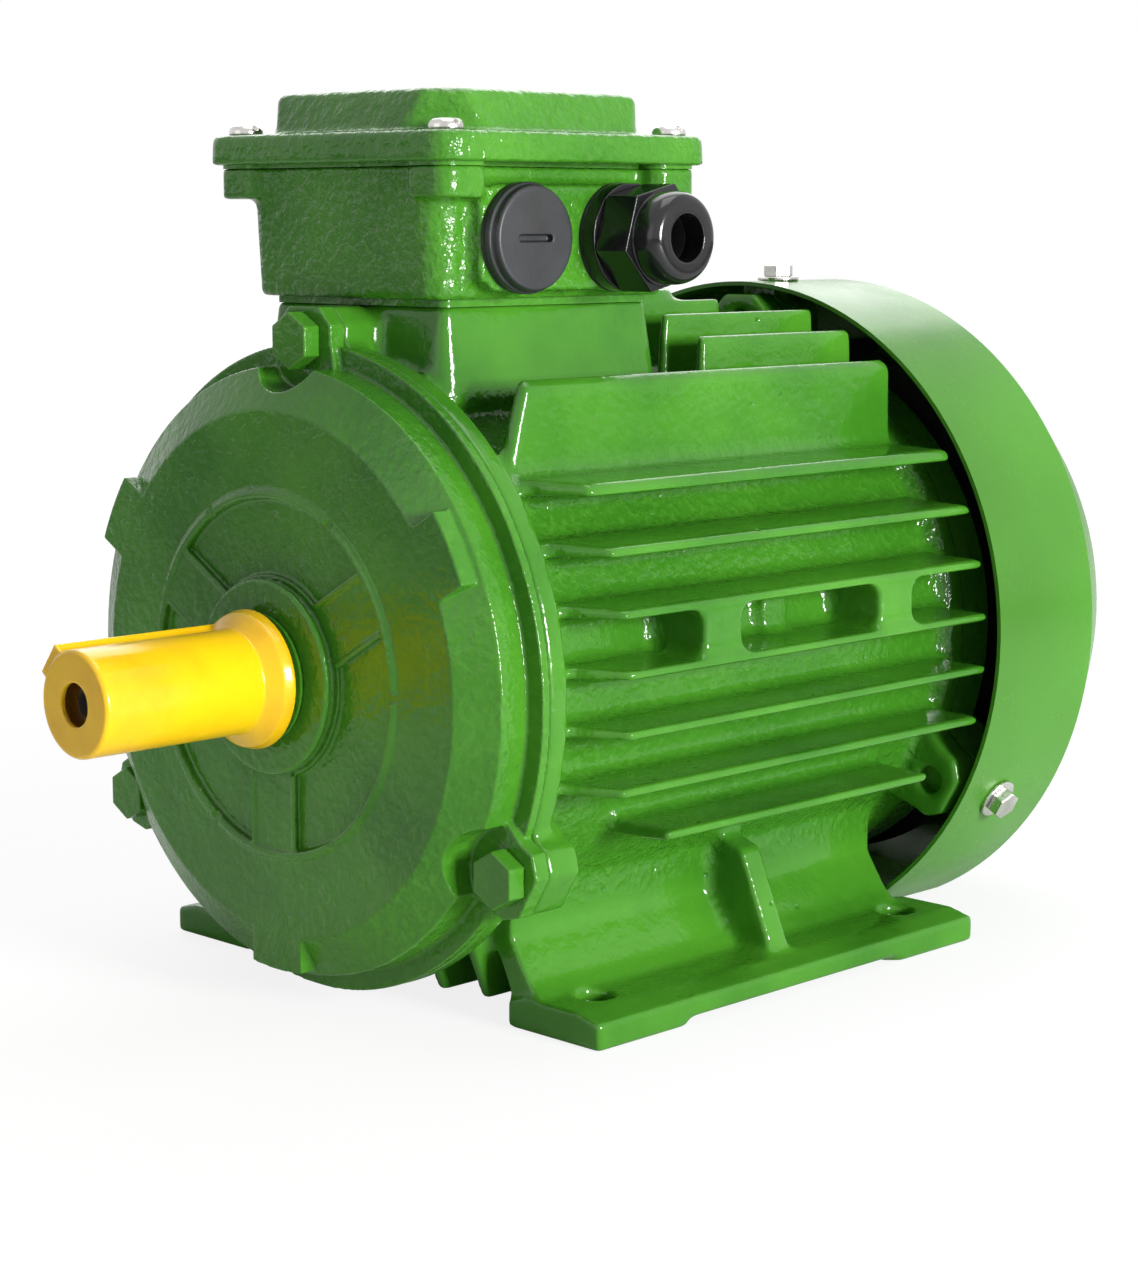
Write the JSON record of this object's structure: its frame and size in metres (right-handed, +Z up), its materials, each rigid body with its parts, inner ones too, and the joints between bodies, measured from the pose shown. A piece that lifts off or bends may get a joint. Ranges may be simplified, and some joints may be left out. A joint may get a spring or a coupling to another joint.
{
  "type": "electric motor",
  "caption": "Foot mounted induction motor with a finned cast frame, fan cover, terminal box with cable gland, and a capped keyed shaft.",
  "frame": {"origin": "middle of the four foot holes, on the plane the feet stand on", "axes": "+Z up, the shaft along Y with its drive end towards -Y, the cable entries of the terminal box towards +X"},
  "size_m": [0.1974, 0.324, 0.2401],
  "materials": {
    "enamelled_casting": "gloss enamel over a sand cast surface",
    "enamelled_bolt": "gloss enamel over a forged bolt",
    "enamelled_gasket": "enamel over the edge of a flat gasket",
    "enamelled_sheet": "smooth enamel on pressed sheet",
    "zinc_plated_steel": "bright zinc plate",
    "machined_steel": "fine turned, oiled",
    "bearing_steel": "ground and polished",
    "cage_steel": "pressed sheet",
    "spring_steel": "dark spring steel",
    "laminations": "stacked electrical sheet",
    "cast_aluminium": "die cast",
    "winding": "varnished copper wire",
    "terminal_brass": "turned brass",
    "board_resin": "moulded resin",
    "rubber_gasket": "moulded rubber",
    "fan_plastic": "glass filled nylon",
    "plug_plastic": "dark grey nylon",
    "gland_plastic": "black nylon",
    "cap_plastic": "yellow polyethylene"
  },
  "bodies": {
    "stator": {"frame_housing": "enamelled_casting", "drive_endshield": "enamelled_casting", "rear_endshield": "enamelled_casting", "drive_endshield_bolts": "enamelled_bolt", "rear_endshield_bolts": "enamelled_bolt", "front_bearing_outer_ring": "bearing_steel", "rear_bearing_outer_ring": "bearing_steel", "bearing_wave_spring": "spring_steel", "stator_core": "laminations", "stator_winding": "winding", "fan_cover": "enamelled_sheet", "fan_cover_screws": "zinc_plated_steel", "fan_cover_washers": "zinc_plated_steel", "terminal_box_gasket": "enamelled_gasket", "terminal_box": "enamelled_casting", "terminal_box_screws": "zinc_plated_steel", "lid_gasket": "enamelled_gasket", "terminal_box_lid": "enamelled_casting", "lid_screws": "zinc_plated_steel", "terminal_board": "board_resin", "terminal_studs": "terminal_brass", "terminal_links": "terminal_brass", "terminal_nuts": "terminal_brass", "terminal_board_screws": "zinc_plated_steel", "earth_screw": "zinc_plated_steel", "blanking_plug_seal": "rubber_gasket", "cable_gland_seal": "rubber_gasket", "blanking_plug": "plug_plastic", "gland_body": "gland_plastic", "gland_insert": "rubber_gasket", "gland_cap_nut": "gland_plastic"},
    "rotor": {"shaft": "machined_steel", "drive_key": "machined_steel", "front_bearing_inner_ring": "bearing_steel", "rear_bearing_inner_ring": "bearing_steel", "rotor_core": "laminations", "rotor_cage": "cast_aluminium", "shaft_seal": "rubber_gasket", "cooling_fan": "fan_plastic", "fan_circlip": "spring_steel"},
    "front_ball_cage": {"front_bearing_balls": "bearing_steel", "front_bearing_cage": "cage_steel"},
    "rear_ball_cage": {"rear_bearing_balls": "bearing_steel", "rear_bearing_cage": "cage_steel"},
    "cap": {"shaft_cap": "cap_plastic"}
  },
  "joints": [
    {"name": "rotor_spin", "type": "hinge", "parent": "stator", "child": "rotor", "pos_m": [0, 0, 0.09], "axis": [0, 1, 0], "continuous": true},
    {"name": "front_balls_spin", "type": "hinge", "parent": "stator", "child": "front_ball_cage", "pos_m": [0, -0.0995, 0.09], "axis": [0, 1, 0], "continuous": true},
    {"name": "rear_balls_spin", "type": "hinge", "parent": "stator", "child": "rear_ball_cage", "pos_m": [0, 0.0875, 0.09], "axis": [0, 1, 0], "continuous": true},
    {"name": "cap_pull", "type": "slide", "parent": "rotor", "child": "cap", "axis": [0, -1, 0], "range_m": [0, 0.056]}
  ],
  "couplings": [
    {"joint": "front_balls_spin", "follows": "rotor_spin", "ratio": 0.3987},
    {"joint": "rear_balls_spin", "follows": "rotor_spin", "ratio": 0.3987}
  ]
}
